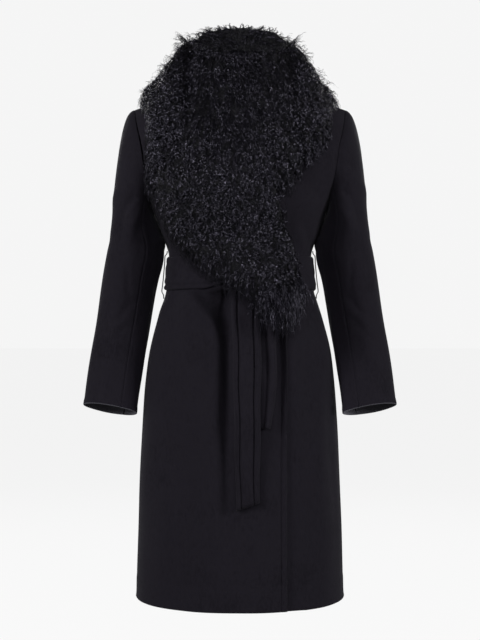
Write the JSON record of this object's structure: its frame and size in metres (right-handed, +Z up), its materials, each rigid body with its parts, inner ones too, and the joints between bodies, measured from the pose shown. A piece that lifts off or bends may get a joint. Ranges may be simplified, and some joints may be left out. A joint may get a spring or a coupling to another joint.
{
  "type": "shearling collar coat",
  "caption": "Long belted wrap coat of thick black wool with a wide collar of curly black lamb that crosses over the knot.",
  "frame": {"origin": "base of the wearer's neck, midway between the shoulders, at the height of the neck's sides; the wearer's shoulders carry the coat there", "axes": "+Z up, -Y the way the coat's front faces, +X to the wearer's left"},
  "size_m": [0.6002, 0.3583, 1.1402],
  "materials": {
    "wool": "matt brushed wool",
    "curly_lamb": "tight glossy curls"
  },
  "bodies": {
    "root": {"front_right": "wool", "front_left": "wool", "back": "wool", "sleeve_right_upper": "wool", "sleeve_right_under": "wool", "sleeve_left_upper": "wool", "sleeve_left_under": "wool", "belt_band": "wool", "belt_knot": "wool", "belt_tail_long": "wool", "belt_tail_short": "wool", "belt_loop_right": "wool", "belt_loop_left": "wool", "collar_right": "curly_lamb", "collar_left": "curly_lamb"}
  },
  "joints": []
}
